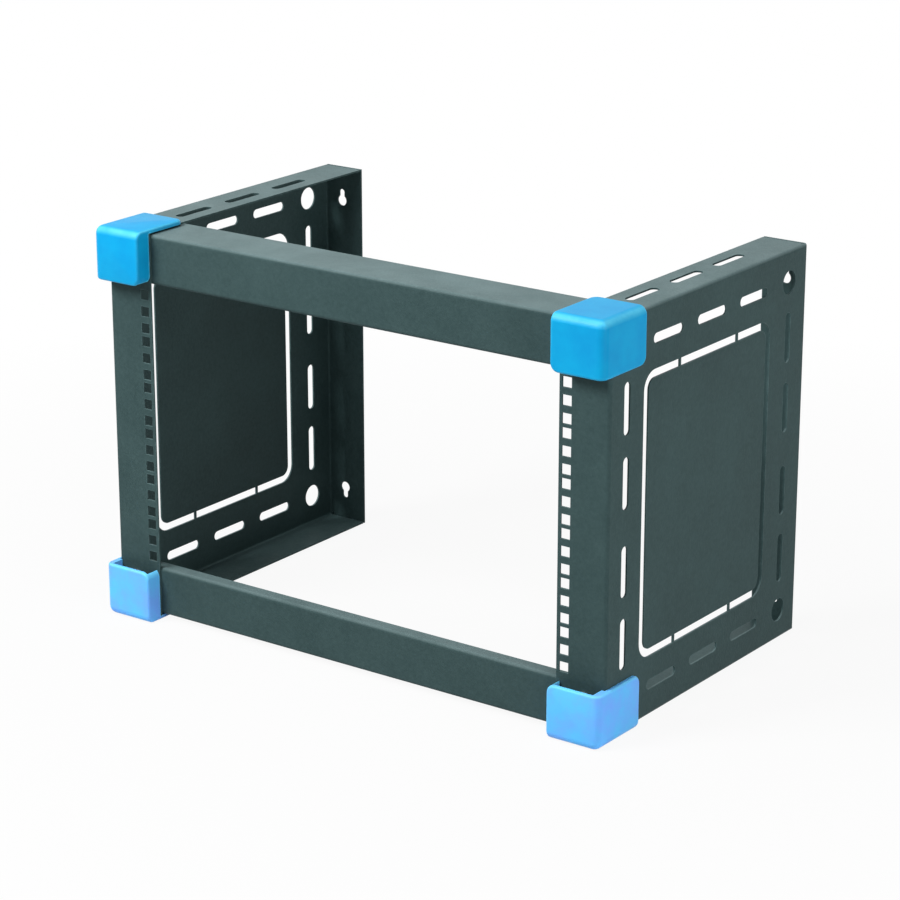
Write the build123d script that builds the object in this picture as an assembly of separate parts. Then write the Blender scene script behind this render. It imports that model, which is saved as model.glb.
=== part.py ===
from build123d import *
import os

# Open wall-mount rack frame for 19-inch equipment, six units high.
# All lengths are in millimetres. +X is right as seen from the front, +Y is
# towards the wall, +Z is up. The pieces are drawn about the middle of the rack
# opening with the front of the posts at Y = 0, and moved to the final origin,
# the middle of the footprint at the lowest point, when they are written out.

# Rack standard
units = 6
unit = 44.45
hole_offsets = (unit / 7, unit / 2, unit * 6 / 7)
rack_opening = 450.0
hole_inset = 7.55
hole_side = 9.5
column_x = rack_opening / 2 + hole_inset
bay_half_h = units * unit / 2

# Sheet metal
sheet = 1.6
bend_inside = 2.0
bend_outside = bend_inside + sheet
corner_gap = 1.4
relief_r = 1.6
relief_inset = bend_outside + 1.0

# Overall size of the steel
post_face = 50.0
rail_face = 47.9
rail_above_bay = 4.25
depth = 322.0
half_w = rack_opening / 2 + post_face
half_h = bay_half_h + rail_above_bay + rail_face
flange = 45.0

# Openings in a side panel
slot_length = 46.5
slot_width = 9.0
outline_cut = 7.4
outline_corner = 13.0
outline_front = 55.8
outline_behind = 66.6
outline_above = 59.8
outline_rear = depth - outline_behind
outline_half_h = half_h - outline_above
row_above = 29.5
row_height = half_h - row_above
row_from_front = 33.2
row_from_rear = 26.4
row_depths = (outline_front + row_from_front,
              (outline_front + row_from_front + outline_rear - row_from_rear) / 2,
              outline_rear - row_from_rear)
front_column = 26.5
rear_column_inset = 31.5
rear_column = depth - rear_column_inset
column_heights = (outline_half_h * 0.314, outline_half_h * 0.835)
flange_row_inset = 27.0
cable_hole_r = 11.0
tab_width = 2.4
tab_from_outline = 53.0
tab_depths = (outline_front + tab_from_outline, outline_rear - tab_from_outline)

# Keyholes in the wall flanges
keyhole_inset = 21.0
keyhole_x = half_w - keyhole_inset
keyhole_entry_r = 5.4
keyhole_slot_r = 3.1
keyhole_drop = 8.5
keyhole_from_end = 26.0
keyhole_height = half_h - keyhole_from_end

# Cross rails
rail_outer = 52.6
rail_inner = 13.5
rail_end_gap = 4.0

# Corner caps
cap_front = 16.5
cap_side = 4.0
cap_end = 4.0
cap_past_post = 0.5
cap_above_edge = 1.0
cap_inner = half_w - post_face + cap_past_post
cap_rear = rail_outer - 2 * sheet
cap_low = half_h - rail_face + cap_above_edge
cap_round = 8.0
cap_corner = 8.0
cap_rim_round = 2.6
cap_skin = 2.4
cap_lip = 3.0
cap_rib = 3.2

# Fixings at each corner
bolt_r = 3.0
bolt_head_r = 5.8
bolt_head_h = 3.2
bolt_head_round = 1.8
bolt_socket_r = 2.3
bolt_socket_deep = 1.7
bolt_tip = 0.7
bolt_length = 12.0
fix_hole_r = 3.3
nut_af = 10.0
nut_h = 5.0
nut_edge = 0.8
nut_play = 0.06
bolt_inset = 21.0
bolt_x = half_w - bolt_inset
bolt_heights = (half_h - rail_face * 0.74, half_h - rail_face * 0.3)
peg_r = 3.2
peg_reach = 5.5
peg_inset = 40.0
peg_x = half_w - peg_inset
peg_height = half_h - rail_face * 0.52

# How far a cutting shape runs past the metal that it cuts
over = 1.0

def block(x0, x1, y0, y1, z0, z1):
    return Pos((x0 + x1) / 2, (y0 + y1) / 2, (z0 + z1) / 2) * Box(abs(x1 - x0), abs(y1 - y0), abs(z1 - z0))


def rod_x(x0, x1, y, z, r):
    return Pos((x0 + x1) / 2, y, z) * Rot(0, 90, 0) * Cylinder(r, abs(x1 - x0))


def rod_y(y0, y1, x, z, r):
    return Pos(x, (y0 + y1) / 2, z) * Rot(90, 0, 0) * Cylinder(r, abs(y1 - y0))


def slot_in_web(y, z, length, wide, upright):
    # A round-ended slot cut through a wall that faces X
    turn = 90 if upright else 0
    flat = extrude(Rot(0, 0, turn) * SlotOverall(length, wide), bend_outside + over, both=True)
    return Pos(half_w, y, z) * Rot(0, 0, 90) * Rot(90, 0, 0) * flat


def slot_in_flange(x, y, z, length, wide):
    # A round-ended slot along Y cut through a wall that faces Z
    flat = extrude(Rot(0, 0, 90) * SlotOverall(length, wide), bend_outside + over, both=True)
    return Pos(x, y, z) * flat


def rounded_prism(y0, y1, z0, z1, r):
    # A rounded rectangle in the plane of the web, thick enough to cut it
    flat = extrude(RectangleRounded(y1 - y0, z1 - z0, r), bend_outside + over, both=True)
    return Pos(half_w, (y0 + y1) / 2, (z0 + z1) / 2) * Rot(0, 0, 90) * Rot(90, 0, 0) * flat


def side_panel():
    # One folded sheet: web outside, four flanges turned inwards
    x0 = half_w - post_face
    pan = block(x0, half_w, 0, depth, -half_h, half_h)
    pan = fillet(pan.faces().sort_by(Axis.X)[-1].edges(), bend_outside)
    hollow = block(x0 - over, half_w - sheet, sheet, depth - sheet, -half_h + sheet, half_h - sheet)
    hollow = fillet(hollow.faces().sort_by(Axis.X)[-1].edges(), bend_inside)
    panel = pan - hollow
    # The top, bottom and wall flanges are narrower than the post face
    panel -= block(x0 - over, half_w - flange, sheet + corner_gap, depth + over, -half_h - over, half_h + over)
    # Gaps that part the flanges at the four corners of the sheet
    relief = half_w - relief_inset
    for s in (1, -1):
        za, zb = s * (half_h - sheet), s * (half_h + over)
        panel -= block(x0 - over, relief, sheet, sheet + corner_gap, za, zb)
        panel -= block(x0 - over, relief, depth - sheet - corner_gap, depth - sheet, za, zb)
        for y in (sheet + corner_gap / 2, depth - sheet - corner_gap / 2):
            panel -= Pos(relief, y, s * half_h) * Cylinder(relief_r, 5 * sheet)
    # Rack holes
    for u in range(units):
        for off in hole_offsets:
            z = -bay_half_h + u * unit + off
            x = column_x
            a = hole_side / 2
            panel -= block(x - a, x + a, -over, sheet + over, z - a, z + a)
    # Slots and round holes in the web
    for s in (1, -1):
        for y in row_depths:
            panel -= slot_in_web(y, s * row_height, slot_length, slot_width, False)
        for z in column_heights:
            panel -= slot_in_web(front_column, s * z, slot_length, slot_width, True)
            panel -= slot_in_web(rear_column, s * z, slot_length, slot_width, True)
        panel -= rod_x(half_w - bend_outside, half_w + over, rear_column, s * row_height, cable_hole_r)
    # Slots in the top flange; the bottom flange is plain
    for y in row_depths:
        panel -= slot_in_flange(half_w - flange_row_inset, y, half_h, slot_length, slot_width)
    # Cut outline of the knock-out, left standing on four small tabs
    c = outline_cut / 2
    ring = rounded_prism(outline_front - c, outline_rear + c, -outline_half_h - c, outline_half_h + c, outline_corner + c)
    ring -= rounded_prism(outline_front + c, outline_rear - c, -outline_half_h + c, outline_half_h - c, outline_corner - c)
    for y in tab_depths:
        ring -= block(half_w - post_face, half_w + post_face, y - tab_width / 2, y + tab_width / 2, -half_h, half_h)
    panel -= ring
    # Keyholes in the wall flange: a round entry and a narrow slot towards the panel's end,
    # the same at both ends, so that one panel serves either side
    for s in (1, -1):
        far, near = s * keyhole_height, s * (keyhole_height - keyhole_drop)
        panel -= rod_y(depth - 2 * sheet, depth + over, keyhole_x, near, keyhole_entry_r)
        panel -= rod_y(depth - 2 * sheet, depth + over, keyhole_x, far, keyhole_slot_r)
        panel -= block(keyhole_x - keyhole_slot_r, keyhole_x + keyhole_slot_r,
                       depth - 2 * sheet, depth + over, min(near, far), max(near, far))
    # Bolt and peg holes in the post face, peg hole in the web
    for s in (1, -1):
        for z in bolt_heights:
            panel -= rod_y(-over, sheet + over, bolt_x, s * z, fix_hole_r)
        panel -= rod_y(-over, sheet + over, peg_x, s * peg_height, fix_hole_r)
        panel -= rod_x(half_w - 2 * sheet, half_w + over, front_column, s * peg_height, fix_hole_r)
    return panel


def cross_rail():
    # Folded channel behind the posts: face, outer flange, shorter inner flange
    end = half_w - rail_end_gap
    top = half_h - sheet
    low = top + sheet - rail_face
    bar = block(-end, end, sheet, sheet + rail_outer, low, top)
    front_edges = [e for e in bar.edges() if abs(e.center().Y - sheet) < 0.01 and abs(e.center().X) < 0.01]
    bar = fillet(front_edges, bend_outside)
    inside = block(-end - over, end + over, 2 * sheet, sheet + rail_outer + over, low + sheet, top - sheet)
    front_edges = [e for e in inside.edges() if abs(e.center().Y - 2 * sheet) < 0.01 and abs(e.center().X) < 0.01]
    inside = fillet(front_edges, bend_inside)
    bar -= inside
    bar -= block(-end - over, end + over, sheet + rail_inner, sheet + rail_outer + over, low - over, low + bend_outside)
    for s in (1, -1):
        for z in bolt_heights:
            bar -= rod_y(0, 3 * sheet, s * bolt_x, z, fix_hole_r)
        bar -= rod_y(0, 3 * sheet, s * peg_x, peg_height, fix_hole_r)
    return bar


def corner_cap():
    # Moulded corner: front, side and end walls with rounded outer edges
    ox, oy, oz = half_w + cap_side, -cap_front, half_h + cap_end
    cap = block(cap_inner, ox, oy, cap_rear, cap_low, oz)

    def at(e, x=None, y=None, z=None):
        b = e.bounding_box()
        return all(v is None or (abs(lo - v) < 0.01 and abs(hi - v) < 0.01)
                   for v, lo, hi in ((x, b.min.X, b.max.X), (y, b.min.Y, b.max.Y), (z, b.min.Z, b.max.Z)))

    free = [e for e in cap.edges() if at(e, x=cap_inner, y=cap_rear)
            or at(e, x=cap_inner, z=cap_low) or at(e, y=cap_rear, z=cap_low)]
    cap = fillet(free, cap_corner)
    outer = [e for e in cap.edges() if at(e, x=ox, y=oy) or at(e, y=oy, z=oz) or at(e, x=ox, z=oz)]
    cap = fillet(outer, cap_round)

    def rim(e):
        # Edges between an outer wall and a free end, corner arcs included
        rx, ry, rz = cap_inner + cap_corner, cap_rear - cap_corner, cap_low + cap_corner
        if at(e, x=cap_inner):
            return not at(e, y=ry) and not at(e, z=rz)
        if at(e, y=cap_rear):
            return not at(e, x=rx) and not at(e, z=rz)
        if at(e, z=cap_low):
            return not at(e, x=rx) and not at(e, y=ry)
        c = e.center()
        if at(e, y=oy):
            return c.X < rx and c.Z < rz
        if at(e, x=ox):
            return c.Y > ry and c.Z < rz
        if at(e, z=oz):
            return c.X < rx and c.Y > ry
        return False

    cap = fillet([e for e in cap.edges() if rim(e)], cap_rim_round)
    cap -= block(0, half_w, 0, depth, 0, half_h)
    # Hollow behind the front wall, open at the free end, which clears the bolt heads,
    # and a relief behind each other wall, which leaves a rib round the rim
    front_deep = cap_front - cap_lip
    side_deep = cap_side - cap_skin
    end_deep = cap_end - cap_skin
    cap -= block(cap_inner + cap_rib, half_w - cap_rib, -front_deep, over, cap_low - over, half_h - cap_rib)
    cap -= block(half_w - over, half_w + side_deep, cap_rib, cap_rear - cap_rib, cap_low + cap_rib, half_h - cap_rib)
    cap -= block(cap_inner + cap_rib, half_w - cap_rib, cap_rib, cap_rear - cap_rib, half_h - over, half_h + end_deep)
    # Moulded pegs that snap into the post face and the web
    cap += rod_y(-front_deep - cap_lip / 2, peg_reach, peg_x, peg_height, peg_r)
    cap += rod_x(half_w - peg_reach, half_w + side_deep + cap_skin / 2, front_column, peg_height, peg_r)
    return cap


def bolt():
    # Head under the cap, shank through the post face and the rail
    head = rod_y(-bolt_head_h, 0, 0, 0, bolt_head_r)
    head = fillet(head.edges().group_by(Axis.Y)[0], bolt_head_round)
    socket = extrude(RegularPolygon(bolt_socket_r, 6), bolt_socket_deep, both=True)
    head -= Pos(0, -bolt_head_h, 0) * Rot(90, 0, 0) * socket
    shank = rod_y(-bolt_head_h / 4, bolt_length, 0, 0, bolt_r)
    shank = chamfer(shank.edges().group_by(Axis.Y)[-1], bolt_tip)
    return head + shank


def nut():
    body = extrude(RegularPolygon(nut_af / 2, 6, major_radius=False), nut_h)
    dome = Pos(0, 0, nut_h / 2) * Cylinder(nut_af * 0.565, nut_h)
    dome = chamfer(dome.edges().sort_by(Axis.Z)[-1], nut_edge)
    body = (body & dome) - Cylinder(bolt_r + nut_play, 4 * nut_h)
    return Pos(0, 2 * sheet, 0) * Rot(-90, 0, 0) * body


panel_r = side_panel()
rail_t = cross_rail()
cap_tr = corner_cap()
one_bolt = bolt()
one_nut = nut()

pieces = {
    "side_panel_right": panel_r,
    "side_panel_left": mirror(panel_r, about=Plane.YZ),
    "cross_rail_top": rail_t,
    "cross_rail_bottom": mirror(rail_t, about=Plane.XY),
}
for vert, sz in (("top", 1), ("bottom", -1)):
    for side, sx in (("right", 1), ("left", -1)):
        cap = cap_tr
        if sx < 0:
            cap = mirror(cap, about=Plane.YZ)
        if sz < 0:
            cap = mirror(cap, about=Plane.XY)
        pieces["corner_cap_" + vert + "_" + side] = cap
        for level, z in zip(("a", "b"), bolt_heights):
            place = Pos(sx * bolt_x, 0, sz * z)
            pieces["bolt_" + vert + "_" + side + "_" + level] = place * one_bolt
            pieces["nut_" + vert + "_" + side + "_" + level] = place * one_nut

# Final origin: middle of the footprint, at the lowest point
lift = half_h + cap_end
back = (depth - cap_front) / 2
os.makedirs("parts", exist_ok=True)
for name, shape in pieces.items():
    moved = Pos(0, -back, lift) * shape
    solids = moved.solids()
    out = solids[0] if len(solids) == 1 else Compound(solids)
    out.label = name
    export_step(out, "parts/" + name + ".step")
    b = out.bounding_box()
    print(name, len(solids), out.is_valid, round(out.volume, 1),
          [round(v, 2) for v in (b.min.X, b.max.X, b.min.Y, b.max.Y, b.min.Z, b.max.Z)])
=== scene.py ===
import math
from contextlib import contextmanager

import bpy
from bpy.props import FloatProperty, FloatVectorProperty, IntProperty, PointerProperty
from bpy.types import Operator, Panel, PropertyGroup
from mathutils import Matrix, Vector


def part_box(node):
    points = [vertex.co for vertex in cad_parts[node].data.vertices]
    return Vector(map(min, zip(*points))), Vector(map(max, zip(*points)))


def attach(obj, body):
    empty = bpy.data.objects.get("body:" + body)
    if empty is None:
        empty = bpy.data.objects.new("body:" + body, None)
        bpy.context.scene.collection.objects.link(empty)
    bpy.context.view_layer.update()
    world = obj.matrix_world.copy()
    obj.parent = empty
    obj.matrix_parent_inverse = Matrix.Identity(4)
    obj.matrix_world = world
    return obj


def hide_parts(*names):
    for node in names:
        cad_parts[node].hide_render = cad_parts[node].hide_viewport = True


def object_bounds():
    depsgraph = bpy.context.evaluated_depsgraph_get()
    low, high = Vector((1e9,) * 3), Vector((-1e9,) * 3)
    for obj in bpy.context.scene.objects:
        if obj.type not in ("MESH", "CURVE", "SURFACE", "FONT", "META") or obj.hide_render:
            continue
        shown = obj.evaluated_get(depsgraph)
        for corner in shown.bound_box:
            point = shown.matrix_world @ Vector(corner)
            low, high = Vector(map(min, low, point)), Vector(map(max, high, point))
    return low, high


bl_info = {
    "name": "Wall-mount rack frame",
    "version": (1, 0, 0),
    "blender": (4, 5, 0),
    "location": "3D View > Sidebar > Rack frame",
    "description": "Dresses a six-unit wall-mount rack frame and sets its studio",
    "category": "Object",
}

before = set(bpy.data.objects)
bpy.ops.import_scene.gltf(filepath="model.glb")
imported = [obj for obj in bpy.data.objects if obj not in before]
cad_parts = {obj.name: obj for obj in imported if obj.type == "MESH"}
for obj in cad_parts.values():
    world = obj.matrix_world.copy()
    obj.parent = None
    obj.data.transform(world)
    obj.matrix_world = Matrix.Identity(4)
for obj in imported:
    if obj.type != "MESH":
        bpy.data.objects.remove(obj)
cad_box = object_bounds()

SIDES = ("right", "left")
LEVELS = ("top", "bottom")
MARKS = ("a", "b")

# Boxes of the solids whose faces the caps, bolts and nuts are set against
panel_low, panel_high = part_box("side_panel_right")
cap_low, cap_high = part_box("corner_cap_top_right")
bolt_low, bolt_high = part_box("bolt_top_right_a")
nut_low, nut_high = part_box("nut_top_right_a")

# How far a cutting or joined shape runs past the face that it meets, and past all of a piece
OVERLAP = 0.001
BEYOND = 0.5
# Two points nearer than this lie on one plane, and nearer than WELD they become one
NEAR = 1e-5
WELD = 1e-6
# Edges that turn by more than these are shown sharp, and those past RIM_TURN are rims to round
CAP_TURN = math.radians(32)
FIXING_TURN = math.radians(25)
RIM_TURN = math.radians(60)
HEXAGON = 6

# Details of the caps' pegs
PEG_SIDES = 32
PEG_TIP = 0.0007
# Details of the bolts: chamfer and plain length at the shank's end, size of the thread's
# section as a share of its pitch, and steps in one turn
SHANK_TIP = 0.0006
THREAD_END = 0.001
THREAD_SHARE = 0.46
THREAD_STEPS = 28
# Details of the nuts: radius of the round that chamfers the corners, as a share of the size
# across flats, its faces, and the play round a bolt
NUT_ROUND_SHARE = 0.565
NUT_ROUND_SIDES = 48
NUT_PLAY = 0.00006

# Size of one step of a node's place, and the sockets of a Mix node that mixes colours
NODE_COLUMN, NODE_ROW = 190, 150
MIX_FACTOR, MIX_FIRST, MIX_SECOND, MIX_RESULT = 0, 6, 7, 2

# Lamps of the stage: name, place, width of the square and power in watts
LAMPS = (
    ("overhead", (0.1, -0.5, 2.0), 0.6, 13.0),
    ("left", (-0.90, -1.60, 1.75), 0.9, 62.0),
    ("right", (1.95, -0.34, 0.47), 0.8, 18.0),
    ("back", (0.20, 2.40, 0.45), 0.9, 9.5),
)
LAMP_TARGET = (0.0, 0.0, 0.19)


def length(name, about, default, smallest=0.0, largest=1.0):
    return FloatProperty(name=name, description=about, default=default, min=smallest,
                         max=largest, unit="LENGTH", subtype="DISTANCE", precision=5)


def share(name, about, default):
    return FloatProperty(name=name, description=about, default=default, min=0.0, max=1.0,
                         subtype="FACTOR")


def tint(name, about, default):
    return FloatVectorProperty(name=name, description=about, default=default, size=3,
                               min=0.0, max=1.0, subtype="COLOR")


class RackSteelSettings(PropertyGroup):
    colour: tint("Coat colour", "Colour of the powder coat", (0.037, 0.066, 0.067))
    worn_colour: tint("Worn colour", "Colour of the coat where edges are rubbed",
                      (0.146, 0.24, 0.248))
    # The dust colour also paints the sheen that light gives open upward faces.
    dust_and_sheen_colour: tint("Dust colour", "Colour of dust on upward faces", (0.32, 0.43, 0.44))
    dark_tone: tint("Dark tone", "Darker tone in the mottle", (0.007, 0.027, 0.029))
    light_tone: tint("Light tone", "Paler tone in the mottle", (0.31, 0.51, 0.51))
    mottle: share("Mottle", "How much the coat varies in tone", 0.4)
    wear: share("Edge wear", "How strongly edges are rubbed", 0.6)
    wear_width: length("Wear width", "Reach of the rubbing from an edge", 0.0011)
    # The dust mask is partly painted sheen: it lightens open upward faces and thins in sheltered
    # places, which paints shade there.
    dust_and_sheen: share("Dust", "How much dust lies on upward faces", 0.46)
    roughness: share("Roughness", "Roughness of the coat", 0.42)
    peel: length("Peel size", "Width of the orange-peel ripples in the coat", 0.0022)
    peel_depth: length("Peel depth", "Height of the orange-peel ripples", 0.0002)


class RackCapSettings(PropertyGroup):
    top_colour: tint("Top cap colour", "Colour of the two upper caps", (0.005, 0.35, 0.66))
    bottom_colour: tint("Bottom cap colour", "Colour of the two lower caps",
                        (0.117, 0.54, 1.0))
    # The edge colour is also the colour of the painted highlight along the caps' rounded edges.
    edge_colour: tint("Edge colour", "Paler colour along the rounded edges",
                      (0.20, 0.82, 1.0))
    top_flow: tint("Top cap flow", "Second tone in the upper caps", (0.004, 0.30, 0.62))
    bottom_flow: tint("Bottom cap flow", "Second tone in the lower caps",
                      (0.17, 0.42, 1.0))
    # The caps share the mask of dust and painted sheen on upward faces, at a low amount.
    dust_and_sheen_colour: tint("Dust colour", "Colour of dust on upward faces", (0.70, 0.88, 1.0))
    dust_and_sheen: share("Dust", "How much dust lies on upward faces", 0.01)
    # The crest is a painted highlight on rounded edges that look up, where light from above catches
    # them.
    crest_highlight: share("Crest", "How pale the rounded edges that look up are", 0.42)
    # The caps' edge wear is partly real rubbing and partly a painted highlight along their edges.
    wear: share("Edge wear", "How strongly edges are rubbed", 0.8)
    wear_width: length("Wear width", "Reach of the rubbing from an edge", 0.0030)
    roughness: share("Roughness", "Roughness of the moulded plastic", 0.34)
    outer_round: length("Outer round", "Radius of the three outer edges", 0.008)
    free_round: length("Corner round", "Radius of the corners of the free ends", 0.008)
    rim_round: length("Rim round", "Radius of the rim round the free ends", 0.0026)
    skin: length("Skin", "Thickness of the plastic over the reliefs", 0.0024)
    lip: length("Lip", "Thickness of the front wall", 0.003)
    rib: length("Rib", "Width of the rib left round each relief", 0.0032)
    peg_radius: length("Peg radius", "Radius of the moulded pegs", 0.0032)
    peg_reach: length("Peg reach", "How far a peg reaches into the steel", 0.0055)
    peg_inset: length("Peg inset", "Peg's distance from the outer face of the panel", 0.040)
    peg_column: length("Peg depth", "Side peg's distance behind the post face", 0.0265)
    peg_height: length("Peg drop", "Pegs' distance from the end of the steel", 0.0249)


class RackFixingSettings(PropertyGroup):
    colour: tint("Plating colour", "Colour of the zinc plating", (0.60, 0.61, 0.60))
    bloom_colour: tint("Bloom colour", "Colour of the dull bloom on the zinc", (0.42, 0.44, 0.45))
    edge_colour: tint("Edge colour", "Colour of the zinc where edges are rubbed",
                      (0.80, 0.80, 0.78))
    wear: share("Edge wear", "How strongly edges are rubbed", 0.6)
    wear_width: length("Wear width", "Reach of the rubbing from an edge", 0.0003)
    roughness: share("Roughness", "Roughness of the plating", 0.34)
    pitch: length("Thread pitch", "Distance between two turns of the thread", 0.001)
    core: length("Thread core", "Radius of the shank under the thread", 0.00258)
    thread: length("Thread radius", "Outer radius of the thread", 0.003)
    head_round: length("Head round", "Radius of the bolt head's shoulder", 0.0018)
    socket: length("Socket radius", "Radius to the corners of the hex socket", 0.0023)
    socket_deep: length("Socket depth", "Depth of the hex socket", 0.0017)
    across_flats: length("Nut size", "Distance between two flats of a nut", 0.010)
    nut_edge: length("Nut chamfer", "Chamfer on the corners of a nut", 0.0008)
    sides: IntProperty(name="Round sides", description="Faces round a bolt", default=40,
                       min=12, max=96)


class RackStageSettings(PropertyGroup):
    camera_place: FloatVectorProperty(name="Camera", description="Where the camera stands",
                                      default=(1.54284, -2.11466, 1.03164), size=3,
                                      unit="LENGTH", subtype="TRANSLATION")
    camera_target: FloatVectorProperty(name="Target", description="What the camera looks at",
                                       default=(-0.00456, 0.00825, 0.16889), size=3,
                                       unit="LENGTH", subtype="TRANSLATION")
    lens: FloatProperty(name="Lens", description="Focal length in millimetres",
                        default=119.2, min=20.0, max=300.0, unit="CAMERA")
    floor_size: length("Floor size", "Width of the floor", 40.0, 1.0, 100.0)
    floor_colour: tint("Floor colour", "Colour of the floor", (0.58, 0.58, 0.58))
    even_light: share("Even light", "Strength of the light from all round", 0.10)


# Shader nodes

def feed(tree, node, inputs):
    """Links inputs of a node to other sockets, or sets them to values."""
    for key, value in inputs.items():
        socket = node.inputs[key]
        if isinstance(value, bpy.types.NodeSocket):
            tree.links.new(value, socket)
        elif socket.type == "RGBA":
            socket.default_value = (*value[:3], 1.0)
        else:
            socket.default_value = value


def add_node(tree, kind, place, inputs=None, **settings):
    made = tree.nodes.new(kind)
    made.location = (place[0] * NODE_COLUMN, place[1] * NODE_ROW)
    for key, value in settings.items():
        setattr(made, key, value)
    feed(tree, made, inputs or {})
    return made


def maths(tree, place, operation, first, second, clamp=False):
    made = add_node(tree, "ShaderNodeMath", place, {0: first, 1: second},
                    operation=operation, use_clamp=clamp)
    return made.outputs[0]


def mix_colours(tree, place, factor, first, second):
    made = add_node(tree, "ShaderNodeMix", place, data_type="RGBA")
    feed(tree, made, {MIX_FACTOR: factor, MIX_FIRST: first, MIX_SECOND: second})
    return made.outputs[MIX_RESULT]


def spread(tree, place, value, low, high, to_low=0.0, to_high=1.0):
    """The value's range from low to high, spread over another range and held in it."""
    made = add_node(tree, "ShaderNodeMapRange", place, {
        "Value": value, "From Min": low, "From Max": high,
        "To Min": to_low, "To Max": to_high}, clamp=True)
    return made.outputs["Result"]


def noise(tree, place, where, scale, detail=2.0, rough=0.5):
    made = add_node(tree, "ShaderNodeTexNoise", place, {
        "Vector": where, "Scale": scale, "Detail": detail, "Roughness": rough})
    return made.outputs["Fac"]


def new_group(name, inputs, outputs):
    """A new node group with its two ends, or the group made before, with None for them."""
    if name in bpy.data.node_groups:
        return bpy.data.node_groups[name], None, None
    group = bpy.data.node_groups.new(name, "ShaderNodeTree")
    for label, kind, value in inputs:
        socket = group.interface.new_socket(name=label, in_out="INPUT", socket_type=kind)
        socket.default_value = value
    for label, kind in outputs:
        group.interface.new_socket(name=label, in_out="OUTPUT", socket_type=kind)
    start = add_node(group, "NodeGroupInput", (-6, 0))
    end = add_node(group, "NodeGroupOutput", (6, 0))
    return group, start, end


def edge_wear_group():
    """Mask that is 1 on rubbed edges, broken up by noise."""
    group, start, end = new_group("Edge wear", [
        ("Radius", "NodeSocketFloat", 0.0006),
        ("Strength", "NodeSocketFloat", 0.5),
        ("Break-up", "NodeSocketFloat", 120.0),
    ], [("Mask", "NodeSocketFloat")])
    if start is None:
        return group
    where = add_node(group, "ShaderNodeTexCoord", (-5, -3)).outputs["Object"]
    round_edge = add_node(group, "ShaderNodeBevel", (-5, 1),
                          {"Radius": start.outputs["Radius"]}, samples=4)
    surface = add_node(group, "ShaderNodeNewGeometry", (-5, -1))
    same = add_node(group, "ShaderNodeVectorMath", (-4, 1), {
        0: round_edge.outputs["Normal"], 1: surface.outputs["Normal"]}, operation="DOT_PRODUCT")
    edge = spread(group, (-3, 1), same.outputs["Value"], 0.99, 0.82)
    patches = noise(group, (-4, -3), where, scale=start.outputs["Break-up"], detail=3.0, rough=0.65)
    broken = spread(group, (-2, -3), patches, 0.38, 0.62, 0.25, 1.0)
    held = maths(group, (0, 0), "MULTIPLY", edge, broken)
    mask = maths(group, (2, 0), "MULTIPLY", held, start.outputs["Strength"], True)
    feed(group, end, {"Mask": mask})
    return group


def dust_and_sheen_group():
    """Mask of dust and painted sheen on faces that look up and lie open, in soft drifts; it thins
    where the surface is sheltered, which paints shade there.
    """
    group, start, end = new_group("Dust and painted sheen", [
        ("Amount", "NodeSocketFloat", 0.3),
    ], [("Mask", "NodeSocketFloat")])
    if start is None:
        return group
    where = add_node(group, "ShaderNodeTexCoord", (-5, -2)).outputs["Object"]
    surface = add_node(group, "ShaderNodeNewGeometry", (-5, 1))
    parts = add_node(group, "ShaderNodeSeparateXYZ", (-4, 1),
                     {"Vector": surface.outputs["Normal"]})
    upward = spread(group, (-3, 1), parts.outputs["Z"], 0.35, 0.95)
    # Painted shade: the dust and painted sheen thin where the surface is sheltered, so recesses
    # come out darker.
    sky = add_node(group, "ShaderNodeAmbientOcclusion", (-4, 3), {"Distance": 0.4}, samples=8)
    unsheltered = spread(group, (-3, 3), sky.outputs["AO"], 0.45, 0.85, 0.12, 1.0)
    drifts = noise(group, (-4, -2), where, scale=22.0, detail=4.0, rough=0.6)
    grains = noise(group, (-4, -4), where, scale=900.0, detail=2.0, rough=0.7)
    soft = spread(group, (-2, -2), drifts, 0.32, 0.70, 0.62, 1.0)
    fine = spread(group, (-2, -4), grains, 0.30, 0.70, 0.6, 1.0)
    both = maths(group, (0, -2), "MULTIPLY", soft, fine)
    level = maths(group, (0, 1), "MULTIPLY", upward, unsheltered)
    lying = maths(group, (1, 0), "MULTIPLY", level, both)
    mask = maths(group, (3, 0), "MULTIPLY", lying, start.outputs["Amount"], True)
    feed(group, end, {"Mask": mask})
    return group


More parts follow.
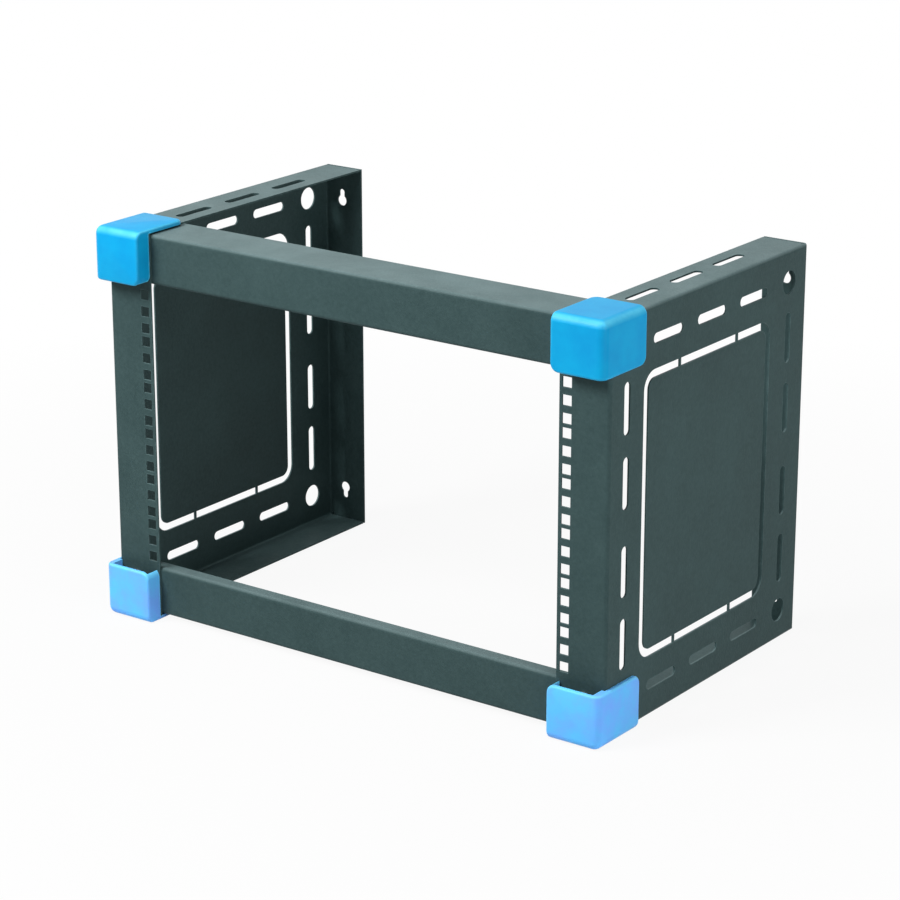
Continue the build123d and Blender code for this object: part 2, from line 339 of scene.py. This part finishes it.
def powder_coat_group(given):
    """Tone and ripple of a sprayed and baked powder coat."""
    group, start, end = new_group("Powder coat", [
        ("Colour", "NodeSocketColor", (0.06, 0.09, 0.09, 1.0)),
        ("Mottle", "NodeSocketFloat", 0.3),
        ("Peel scale", "NodeSocketFloat", 450.0),
        ("Roughness", "NodeSocketFloat", 0.42),
    ], [("Colour", "NodeSocketColor"), ("Roughness", "NodeSocketFloat"),
        ("Height", "NodeSocketFloat")])
    if start is None:
        return group
    where = add_node(group, "ShaderNodeTexCoord", (-5, -2)).outputs["Object"]
    clouds = noise(group, (-4, 2), where, scale=14.0, detail=5.0, rough=0.62)
    speckle = noise(group, (-4, 0), where, scale=260.0, detail=3.0, rough=0.7)
    peel = noise(group, (-4, -2), where, scale=start.outputs["Peel scale"], detail=1.5, rough=0.45)
    grit = noise(group, (-4, -4), where, scale=2600.0, detail=1.0, rough=0.5)
    dark = mix_colours(group, (-2, 3), 0.45, start.outputs["Colour"], given.dark_tone)
    light = mix_colours(group, (-2, 1), 0.12, start.outputs["Colour"], given.light_tone)
    cloud_mask = spread(group, (-3, 2), clouds, 0.30, 0.70)
    speck_mask = spread(group, (-3, 0), speckle, 0.34, 0.68)
    toned = mix_colours(group, (0, 3), cloud_mask, dark, light)
    fine = mix_colours(group, (0, 1), speck_mask, dark, light)
    both = mix_colours(group, (2, 2), 0.42, toned, fine)
    colour = mix_colours(group, (4, 2), start.outputs["Mottle"], start.outputs["Colour"], both)
    swing = spread(group, (0, -2), clouds, 0.30, 0.70, -0.06, 0.07)
    gloss = maths(group, (2, -2), "ADD", start.outputs["Roughness"], swing, True)
    small = maths(group, (-2, -4), "MULTIPLY", grit, 0.22)
    height = maths(group, (0, -4), "ADD", peel, small)
    feed(group, end, {"Colour": colour, "Roughness": gloss, "Height": height})
    return group


def moulded_skin_group():
    """Tone and spark-eroded grain of moulded plastic."""
    group, start, end = new_group("Moulded skin", [
        ("Colour", "NodeSocketColor", (0.02, 0.33, 0.78, 1.0)),
        ("Flow", "NodeSocketColor", (0.01, 0.25, 0.60, 1.0)),
        ("Roughness", "NodeSocketFloat", 0.38),
    ], [("Colour", "NodeSocketColor"), ("Roughness", "NodeSocketFloat"),
        ("Height", "NodeSocketFloat")])
    if start is None:
        return group
    where = add_node(group, "ShaderNodeTexCoord", (-5, -2)).outputs["Object"]
    flow = noise(group, (-4, 2), where, scale=38.0, detail=4.0, rough=0.6)
    grain = noise(group, (-4, 0), where, scale=1500.0, detail=2.0, rough=0.6)
    pits = add_node(group, "ShaderNodeTexVoronoi", (-4, -2),
                    {"Vector": where, "Scale": 1150.0}, feature="SMOOTH_F1")
    flow_mask = spread(group, (-2, 2), flow, 0.34, 0.68)
    colour = mix_colours(group, (0, 2), flow_mask, start.outputs["Colour"],
                         start.outputs["Flow"])
    swing = spread(group, (0, -1), grain, 0.25, 0.75, -0.05, 0.08)
    gloss = maths(group, (2, -1), "ADD", start.outputs["Roughness"], swing, True)
    half = maths(group, (-1, -3), "MULTIPLY", grain, 0.6)
    height = maths(group, (1, -3), "ADD", pits.outputs["Distance"], half)
    feed(group, end, {"Colour": colour, "Roughness": gloss, "Height": height})
    return group


def painted_crest_highlight_group():
    """Mask of a painted highlight: 1 on rounded edges that look up, between upright and level
    faces.
    """
    group, start, end = new_group("Painted crest highlight", [
        ("Strength", "NodeSocketFloat", 0.5),
    ], [("Mask", "NodeSocketFloat")])
    if start is None:
        return group
    surface = add_node(group, "ShaderNodeTexCoord", (-5, 0))
    parts = add_node(group, "ShaderNodeSeparateXYZ", (-4, 1),
                     {"Vector": surface.outputs["Normal"]})
    tilted = spread(group, (-3, 2), parts.outputs["Z"], 0.10, 0.65)
    not_level = spread(group, (-3, 0), parts.outputs["Z"], 1.0, 0.80)
    patches = noise(group, (-4, -3), surface.outputs["Object"], scale=70.0, detail=3.0, rough=0.6)
    broken = spread(group, (-2, -3), patches, 0.30, 0.65, 0.6, 1.0)
    crest_highlight = maths(group, (-1, 1), "MULTIPLY", tilted, not_level)
    held = maths(group, (1, 0), "MULTIPLY", crest_highlight, broken)
    mask = maths(group, (3, 0), "MULTIPLY", held, start.outputs["Strength"], True)
    feed(group, end, {"Mask": mask})
    return group


def empty_tree(owner):
    """The node tree of a material or world, with its nodes removed."""
    owner.use_nodes = True
    owner.node_tree.nodes.clear()
    return owner.node_tree


def new_material(name):
    material = bpy.data.materials.new(name)
    tree = empty_tree(material)
    shader = add_node(tree, "ShaderNodeBsdfPrincipled", (5, 0))
    add_node(tree, "ShaderNodeOutputMaterial", (7, 0), {"Surface": shader.outputs["BSDF"]})
    return material, tree, shader


def place_group(tree, place, group, inputs):
    return add_node(tree, "ShaderNodeGroup", place, inputs, node_tree=group)


def powder_coated_steel(given):
    """Dark slate powder coat with ripple, rubbed edges and a little dust, which is partly a painted
    sheen on upward faces.
    """
    found = bpy.data.materials.get("powder_coated_steel")
    if found:
        return found
    material, tree, shader = new_material("powder_coated_steel")
    coat = place_group(tree, (-3, 1), powder_coat_group(given), {
        "Colour": given.colour, "Mottle": given.mottle,
        "Peel scale": 1.0 / given.peel, "Roughness": given.roughness})
    wear = place_group(tree, (-3, -1), edge_wear_group(), {
        "Radius": given.wear_width, "Strength": given.wear, "Break-up": 95.0})
    # Dust and painted sheen: upward faces are lightened as light falling on them would be, and
    # sheltered ones are left darker.
    dust_and_sheen = place_group(tree, (-3, -3), dust_and_sheen_group(), {"Amount": given.dust_and_sheen})
    rubbed = mix_colours(tree, (-1, 1), wear.outputs["Mask"], coat.outputs["Colour"],
                         given.worn_colour)
    with_dust_and_sheen = mix_colours(tree, (1, 1), dust_and_sheen.outputs["Mask"], rubbed, given.dust_and_sheen_colour)
    dull = maths(tree, (-1, -2), "MULTIPLY", dust_and_sheen.outputs["Mask"], 0.35)
    gloss = maths(tree, (1, -1), "ADD", coat.outputs["Roughness"], dull, True)
    bump = add_node(tree, "ShaderNodeBump", (3, -2), {
        "Strength": 0.8, "Distance": given.peel_depth, "Height": coat.outputs["Height"]})
    feed(tree, shader, {"Base Color": with_dust_and_sheen, "Roughness": gloss,
                        "Normal": bump.outputs["Normal"], "IOR": 1.5,
                        "Specular IOR Level": 0.045})
    return material


def moulded_plastic(given, name, colour, flow):
    """Semi-gloss blue plastic, paler along its rounded edges from wear and a painted highlight,
    with a little dust and painted sheen.
    """
    found = bpy.data.materials.get(name)
    if found:
        return found
    material, tree, shader = new_material(name)
    skin = place_group(tree, (-3, 1), moulded_skin_group(), {
        "Colour": colour, "Flow": flow, "Roughness": given.roughness})
    wear = place_group(tree, (-3, -1), edge_wear_group(), {
        "Radius": given.wear_width, "Strength": given.wear, "Break-up": 60.0})
    # Painted highlight on the rounded edges that look up.
    crest_highlight = place_group(tree, (-3, -5), painted_crest_highlight_group(), {"Strength": given.crest_highlight})
    dust_and_sheen = place_group(tree, (-3, -3), dust_and_sheen_group(), {"Amount": given.dust_and_sheen})
    # Paler edges: rubbing, strengthened to stand in for highlights, together with the painted crest
    # highlight.
    pale = maths(tree, (-2, -1), "MAXIMUM", wear.outputs["Mask"], crest_highlight.outputs["Mask"])
    edged = mix_colours(tree, (-1, 1), pale, skin.outputs["Colour"], given.edge_colour)
    with_dust_and_sheen = mix_colours(tree, (1, 1), dust_and_sheen.outputs["Mask"], edged, given.dust_and_sheen_colour)
    bump = add_node(tree, "ShaderNodeBump", (3, -2), {
        "Strength": 0.35, "Distance": 0.00005, "Height": skin.outputs["Height"]})
    feed(tree, shader, {"Base Color": with_dust_and_sheen, "Roughness": skin.outputs["Roughness"],
                        "Normal": bump.outputs["Normal"], "IOR": 1.49,
                        "Specular IOR Level": 0.07})
    return material


def zinc_plating(given):
    """Bright zinc with fine turning marks and a dull bloom."""
    found = bpy.data.materials.get("zinc_plating")
    if found:
        return found
    material, tree, shader = new_material("zinc_plating")
    where = add_node(tree, "ShaderNodeTexCoord", (-5, 0)).outputs["Object"]
    bloom = noise(tree, (-4, 1), where, scale=420.0, detail=4.0, rough=0.6)
    scratch = noise(tree, (-4, -1), where, scale=3800.0, detail=1.0, rough=0.5)
    bloom_mask = spread(tree, (-3, 1), bloom, 0.32, 0.70)
    colour = mix_colours(tree, (-1, 1), bloom_mask, given.colour, given.bloom_colour)
    wear = place_group(tree, (-3, -3), edge_wear_group(), {
        "Radius": given.wear_width, "Strength": given.wear, "Break-up": 500.0})
    edged = mix_colours(tree, (1, 1), wear.outputs["Mask"], colour, given.edge_colour)
    gloss = spread(tree, (-1, -1), bloom, 0.3, 0.7, given.roughness - 0.08,
                   given.roughness + 0.12)
    bump = add_node(tree, "ShaderNodeBump", (3, -2), {
        "Strength": 0.3, "Distance": 0.00003, "Height": scratch})
    feed(tree, shader, {"Metallic": 1.0, "Base Color": edged, "Roughness": gloss,
                        "Normal": bump.outputs["Normal"]})
    return material


# Modelling

def object_mode():
    if bpy.context.object and bpy.context.object.mode != "OBJECT":
        bpy.ops.object.mode_set(mode="OBJECT")
    bpy.ops.object.select_all(action="DESELECT")


def make_active(piece):
    object_mode()
    piece.select_set(True)
    bpy.context.view_layer.objects.active = piece


@contextmanager
def editing_all(piece):
    """Edit mode with the whole piece selected."""
    make_active(piece)
    bpy.ops.object.mode_set(mode="EDIT")
    bpy.ops.mesh.select_all(action="SELECT")
    yield
    bpy.ops.object.mode_set(mode="OBJECT")


def take_new(name):
    """The object that was just added, named and with its place in its mesh."""
    piece = bpy.context.object
    piece.name = name
    bpy.ops.object.transform_apply(location=True, rotation=True, scale=True)
    return piece


def block(name, low, high):
    """A box between two corners."""
    object_mode()
    low, high = Vector(low), Vector(high)
    bpy.ops.mesh.primitive_cube_add(size=1.0, location=(low + high) / 2, scale=high - low)
    return take_new(name)


def rod(name, centre, radius, deep, axis, sides):
    """A round bar along X or Y."""
    object_mode()
    turn = {"x": (0.0, math.pi / 2, 0.0), "y": (math.pi / 2, 0.0, 0.0)}[axis]
    bpy.ops.mesh.primitive_cylinder_add(vertices=sides, radius=radius, depth=deep,
                                        location=centre, rotation=turn)
    return take_new(name)


def select_edges(piece, wanted):
    """Selects the edges for which wanted(edge, mesh) is true, and leaves edit mode on."""
    make_active(piece)
    bpy.ops.object.mode_set(mode="EDIT")
    bpy.ops.mesh.select_mode(type="EDGE")
    bpy.ops.mesh.select_all(action="DESELECT")
    bpy.ops.object.mode_set(mode="OBJECT")
    mesh = piece.data
    chosen = 0
    for edge in mesh.edges:
        edge.select = bool(wanted(edge, mesh))
        chosen += edge.select
    if not chosen:
        raise RuntimeError("no edge of " + piece.name + " was found to shape")
    bpy.ops.object.mode_set(mode="EDIT")


def lies_at(edge, mesh, **planes):
    """True where both ends of the edge have the given x, y or z."""
    corners = [mesh.vertices[spot].co for spot in edge.vertices]
    return all(abs(getattr(corner, axis) - value) < NEAR
               for corner in corners for axis, value in planes.items())


def round_edges(piece, wanted, radius, segments):
    select_edges(piece, wanted)
    bpy.ops.mesh.bevel(offset=radius, segments=segments, profile=0.5, affect="EDGES",
                       clamp_overlap=False)
    bpy.ops.object.mode_set(mode="OBJECT")


def sharp_edges(piece, least):
    """The edges of the piece whose two faces turn by more than an angle."""
    sides = {}
    for face in piece.data.polygons:
        for key in face.edge_keys:
            sides.setdefault(key, []).append(face.normal)
    return {key for key, pair in sides.items()
            if len(pair) == 2 and pair[0].angle(pair[1], 0.0) > least}


def modify(piece, kind, **settings):
    """Adds a modifier to the piece and applies it."""
    make_active(piece)
    change = piece.modifiers.new(kind.lower(), kind)
    for key, value in settings.items():
        setattr(change, key, value)
    bpy.ops.object.modifier_apply(modifier=change.name)


def combine(piece, tool, operation):
    """Cuts the tool from the piece or adds it, and removes the tool."""
    modify(piece, "BOOLEAN", operation=operation, solver="EXACT", object=tool)
    bpy.data.objects.remove(tool, do_unlink=True)


def smooth(piece, angle):
    """Smooth shading up to an angle, which keeps the flat faces flat."""
    make_active(piece)
    bpy.ops.object.shade_smooth_by_angle(angle=angle)
    modify(piece, "WEIGHTED_NORMAL", keep_sharp=True)


def clean(piece):
    with editing_all(piece):
        bpy.ops.mesh.remove_doubles(threshold=WELD)
        bpy.ops.mesh.normals_make_consistent(inside=False)


def copy_piece(piece, name, move=(0, 0, 0), flip_x=False, flip_z=False, middle=0.0):
    """A copy with its own mesh, moved and mirrored in the mesh itself."""
    object_mode()
    twin = piece.copy()
    twin.data = piece.data.copy()
    twin.name = name
    twin.data.name = name
    bpy.context.scene.collection.objects.link(twin)
    shift = Matrix.Translation(Vector(move))
    if flip_x:
        shift = Matrix.Scale(-1, 4, Vector((1, 0, 0))) @ shift
    if flip_z:
        about = Matrix.Translation(Vector((0, 0, middle)))
        shift = about @ Matrix.Scale(-1, 4, Vector((0, 0, 1))) @ about.inverted() @ shift
    twin.data.transform(shift)
    if flip_x != flip_z:
        with editing_all(twin):
            bpy.ops.mesh.flip_normals()
    return twin


def dress(piece, material):
    piece.data.materials.clear()
    piece.data.materials.append(material)


def dress_node(name, material):
    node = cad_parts[name]
    if not node.material_slots:
        raise RuntimeError(name + " has no material slot")
    for spot in node.material_slots:
        spot.material = material


def settle(piece, node, material):
    """Dresses a piece and puts it in the place of its node."""
    dress(piece, material)
    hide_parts(node)
    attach(piece, "root")


def fasten(model, kind, label, material):
    """Puts a copy of the model in place of each solid of its kind, and removes the model."""
    for at in LEVELS:
        for hand in SIDES:
            for mark in MARKS:
                tail = "_" + at + "_" + hand + "_" + mark
                low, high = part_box(kind + tail)
                centre = (low + high) / 2
                piece = copy_piece(model, label + tail, (centre.x, 0, centre.z))
                settle(piece, kind + tail, material)
    bpy.data.objects.remove(model, do_unlink=True)


def add_peg(cap, given, axis, place, start, reach):
    """Joins a moulded peg to the cap, from its start along an axis as far as it reaches."""
    centre = {**place, axis: start + reach / 2}
    peg = rod("tool", (centre["x"], centre["y"], centre["z"]), given.peg_radius, abs(reach),
              axis, PEG_SIDES)
    round_edges(peg, lambda e, m: lies_at(e, m, **{axis: start + reach}), PEG_TIP, segments=2)
    combine(cap, peg, "UNION")


def wound_thread(given, tip, long):
    """The thread of a shank that ends at the tip: a section of one turn, wound along Y."""
    object_mode()
    wide = given.pitch * THREAD_SHARE
    bpy.ops.mesh.primitive_circle_add(vertices=3, radius=wide, fill_type="NOTHING",
                                      rotation=(math.pi / 2, 0, math.pi),
                                      location=(given.thread - wide, 0, 0))
    thread = take_new("thread")
    modify(thread, "SCREW", axis="Z", screw_offset=given.pitch,
           iterations=int((long - THREAD_END) / given.pitch), steps=THREAD_STEPS,
           render_steps=THREAD_STEPS, use_merge_vertices=True)
    thread.data.transform(Matrix.Translation((0, tip - THREAD_END, 0))
                          @ Matrix.Rotation(math.pi / 2, 4, "X"))
    with editing_all(thread):
        bpy.ops.mesh.fill_holes(sides=3)
        bpy.ops.mesh.normals_make_consistent(inside=False)
    return thread


# Pieces

class RACK_OT_side_panels(Operator):
    """Give both folded side panels their powder coat"""
    bl_idname = "rack.side_panels"
    bl_label = "Side panels"

    def execute(self, context):
        coat = powder_coated_steel(context.scene.rack_steel)
        for side in SIDES:
            dress_node("side_panel_" + side, coat)
        return {"FINISHED"}


class RACK_OT_cross_rails(Operator):
    """Give both cross rails their powder coat"""
    bl_idname = "rack.cross_rails"
    bl_label = "Cross rails"

    def execute(self, context):
        coat = powder_coated_steel(context.scene.rack_steel)
        for level in LEVELS:
            dress_node("cross_rail_" + level, coat)
        return {"FINISHED"}


class RACK_OT_corner_caps(Operator):
    """Model the four moulded caps over the front corners"""
    bl_idname = "rack.corner_caps"
    bl_label = "Corner caps"

    def execute(self, context):
        given = context.scene.rack_caps
        low, high = cap_low, cap_high
        side, front, end = panel_high.x, panel_low.y, panel_high.z
        cap = block("cap_model", low, high)
        free = (dict(x=low.x, y=high.y), dict(x=low.x, z=low.z), dict(y=high.y, z=low.z))
        outer = (dict(x=high.x, y=low.y), dict(y=low.y, z=high.z), dict(x=high.x, z=high.z))
        round_edges(cap, lambda e, m: any(lies_at(e, m, **at) for at in free),
                    given.free_round, segments=8)
        round_edges(cap, lambda e, m: any(lies_at(e, m, **at) for at in outer),
                    given.outer_round, segments=10)
        rims = sharp_edges(cap, RIM_TURN)
        round_edges(cap, lambda e, m: tuple(sorted(e.vertices)) in rims, given.rim_round,
                    segments=6)
        # Space for the steel, then the hollows behind the front, side and end walls
        rib, skin = given.rib, given.skin
        for start, stop in (
                ((0.0, front, 0.0), (side, BEYOND, end)),
                ((low.x + rib, low.y + given.lip, low.z - OVERLAP),
                 (side - rib, front + OVERLAP, end - rib)),
                ((side - OVERLAP, front + rib, low.z + rib),
                 (high.x - skin, high.y - rib, end - rib)),
                ((low.x + rib, front + rib, end - OVERLAP),
                 (side - rib, high.y - rib, high.z - skin))):
            combine(cap, block("tool", start, stop), "DIFFERENCE")
        level = end - given.peg_height
        start = low.y + given.lip / 2
        add_peg(cap, given, "y", {"x": side - given.peg_inset, "z": level}, start,
                front + given.peg_reach - start)
        start = high.x - skin / 2
        add_peg(cap, given, "x", {"y": front + given.peg_column, "z": level}, start,
                side - given.peg_reach - start)
        clean(cap)
        smooth(cap, CAP_TURN)
        middle = (cad_box[0][2] + cad_box[1][2]) / 2
        for at in LEVELS:
            colour, flow = getattr(given, at + "_colour"), getattr(given, at + "_flow")
            plastic = moulded_plastic(given, "moulded_plastic_" + at, colour, flow)
            for hand in SIDES:
                piece = copy_piece(cap, "cap_" + at + "_" + hand, flip_x=hand == "left",
                                   flip_z=at == "bottom", middle=middle)
                settle(piece, "corner_cap_" + at + "_" + hand, plastic)
        bpy.data.objects.remove(cap, do_unlink=True)
        return {"FINISHED"}


class RACK_OT_bolts(Operator):
    """Model the button-head bolts that join rails and panels"""
    bl_idname = "rack.bolts"
    bl_label = "Bolts"

    def execute(self, context):
        given = context.scene.rack_fixings
        face, tip = panel_low.y, bolt_high.y
        tall, long = face - bolt_low.y, tip - face
        radius = (bolt_high.x - bolt_low.x) / 2
        head = rod("bolt_model", (0, bolt_low.y + tall / 2, 0), radius, tall, "y", given.sides)
        round_edges(head, lambda e, m: lies_at(e, m, y=bolt_low.y), given.head_round,
                    segments=6)
        socket = rod("tool", (0, bolt_low.y, 0), given.socket, given.socket_deep * 2, "y",
                     HEXAGON)
        combine(head, socket, "DIFFERENCE")
        core = rod("tool", (0, face + long / 2 - OVERLAP / 2, 0), given.core, long + OVERLAP,
                   "y", given.sides)
        round_edges(core, lambda e, m: lies_at(e, m, y=tip), SHANK_TIP, segments=1)
        combine(head, core, "UNION")
        thread = wound_thread(given, tip, long)
        make_active(head)
        thread.select_set(True)
        bpy.ops.object.join()
        smooth(head, FIXING_TURN)
        fasten(head, "bolt", "screw", zinc_plating(given))
        return {"FINISHED"}


class RACK_OT_nuts(Operator):
    """Model the hex nuts behind the cross rails"""
    bl_idname = "rack.nuts"
    bl_label = "Nuts"

    def execute(self, context):
        given = context.scene.rack_fixings
        near, far = nut_low.y, nut_high.y
        tall, middle = far - near, (0, (near + far) / 2, 0)
        body = rod("nut_model", middle, given.across_flats / math.sqrt(3), tall, "y", HEXAGON)
        dome = rod("tool", middle, given.across_flats * NUT_ROUND_SHARE, tall, "y",
                   NUT_ROUND_SIDES)
        round_edges(dome, lambda e, m: lies_at(e, m, y=far), given.nut_edge, segments=2)
        combine(body, dome, "INTERSECT")
        bore = rod("tool", middle, given.thread + NUT_PLAY, tall * 2, "y", given.sides)
        combine(body, bore, "DIFFERENCE")
        clean(body)
        smooth(body, FIXING_TURN)
        fasten(body, "nut", "hex_nut", zinc_plating(given))
        return {"FINISHED"}


# Stage

def seen_directly(tree, place):
    """1 for camera, glossy and transmission rays, 0 for the rest."""
    path = add_node(tree, "ShaderNodeLightPath", place)
    two = maths(tree, (place[0] + 1, place[1]), "MAXIMUM", path.outputs["Is Camera Ray"],
                path.outputs["Is Glossy Ray"])
    return maths(tree, (place[0] + 2, place[1]), "MAXIMUM", two,
                 path.outputs["Is Transmission Ray"])


def show_mixed(tree, output, part, light, shown):
    """Ends a tree with the shader that gives light and, by its part, the one that shows."""
    both = add_node(tree, "ShaderNodeMixShader", (3, 0), {
        0: part, 1: light.outputs[0], 2: shown.outputs[0]})
    add_node(tree, output, (5, 0), {"Surface": both.outputs[0]})


def stand(name, data, place, target):
    """A lamp or camera at its place, aimed at its target."""
    thing = bpy.data.objects.new(name, data)
    thing.location = place
    aim = Vector(target) - Vector(place)
    thing.rotation_euler = aim.to_track_quat("-Z", "Y").to_euler()
    bpy.context.scene.collection.objects.link(thing)
    return thing


def studio_floor(given):
    """A floor that shows white, with the object's shadow kept."""
    object_mode()
    bpy.ops.mesh.primitive_plane_add(size=given.floor_size, location=(0, 0, 0))
    floor = bpy.context.object
    floor.name = "floor"
    material = bpy.data.materials.new("studio_floor")
    tree = empty_tree(material)
    matt = add_node(tree, "ShaderNodeBsdfDiffuse", (1, 1), {"Color": given.floor_colour})
    glow = add_node(tree, "ShaderNodeEmission", (1, -1), {"Strength": 1.0})
    where = add_node(tree, "ShaderNodeTexCoord", (-3, 3)).outputs["Object"]
    far = add_node(tree, "ShaderNodeVectorMath", (-2, 3), {0: where}, operation="LENGTH")
    open_floor = spread(tree, (-1, 3), far.outputs["Value"], 0.45, 1.1, 0.93, 1.0)
    part = maths(tree, (1, 2), "MULTIPLY", seen_directly(tree, (-3, 0)), open_floor)
    show_mixed(tree, "ShaderNodeOutputMaterial", part, matt, glow)
    dress(floor, material)


def studio_world(given):
    """Even light from all round, and white where the camera or a gloss sees it."""
    world = bpy.data.worlds.new("studio")
    bpy.context.scene.world = world
    tree = empty_tree(world)
    even = add_node(tree, "ShaderNodeBackground", (0, 1),
                    {"Color": (1, 1, 1), "Strength": given.even_light})
    white = add_node(tree, "ShaderNodeBackground", (0, -1), {"Color": (1, 1, 1), "Strength": 1.0})
    show_mixed(tree, "ShaderNodeOutputWorld", seen_directly(tree, (-4, 0)), even, white)


def studio_lamps():
    for name, place, width, power in LAMPS:
        data = bpy.data.lights.new(name, "AREA")
        data.shape = "RECTANGLE"
        data.size = data.size_y = width
        data.energy = power
        stand(name, data, place, LAMP_TARGET)


def studio_camera(given):
    data = bpy.data.cameras.new("camera")
    data.sensor_width = 36.0
    data.lens = given.lens
    data.clip_end = 100.0
    bpy.context.scene.camera = stand("camera", data, given.camera_place, given.camera_target)


class RACK_OT_stage(Operator):
    """Set the floor, backdrop, lamps and camera"""
    bl_idname = "rack.stage"
    bl_label = "Stage"

    def execute(self, context):
        given = context.scene.rack_stage
        studio_floor(given)
        studio_world(given)
        studio_lamps()
        studio_camera(given)
        context.scene.view_settings.view_transform = "Standard"
        return {"FINISHED"}


class RACK_PT_sidebar(Panel):
    """Lists the rack frame's settings and the steps that make it"""
    bl_idname = "RACK_PT_sidebar"
    bl_label = "Rack frame"
    bl_space_type = "VIEW_3D"
    bl_region_type = "UI"
    bl_category = "Rack frame"

    def draw(self, context):
        layout = self.layout
        for step in STEPS:
            layout.operator(step.bl_idname)
        for group in SETTINGS:
            settings = getattr(context.scene, group)
            box = layout.box()
            for key in settings.__annotations__:
                box.prop(settings, key)


SETTINGS = {
    "rack_steel": RackSteelSettings,
    "rack_caps": RackCapSettings,
    "rack_fixings": RackFixingSettings,
    "rack_stage": RackStageSettings,
}
STEPS = (RACK_OT_side_panels, RACK_OT_cross_rails, RACK_OT_corner_caps, RACK_OT_bolts,
         RACK_OT_nuts, RACK_OT_stage)


def register():
    for group in (*SETTINGS.values(), *STEPS, RACK_PT_sidebar):
        bpy.utils.register_class(group)
    for name, group in SETTINGS.items():
        setattr(bpy.types.Scene, name, PointerProperty(type=group))


def unregister():
    for name in SETTINGS:
        delattr(bpy.types.Scene, name)
    for group in (RACK_PT_sidebar, *reversed(STEPS), *SETTINGS.values()):
        bpy.utils.unregister_class(group)


def main():
    register()
    bpy.ops.rack.side_panels()
    bpy.ops.rack.cross_rails()
    bpy.ops.rack.corner_caps()
    bpy.ops.rack.bolts()
    bpy.ops.rack.nuts()
    bpy.ops.rack.stage()


if __name__ == "__main__":
    main()
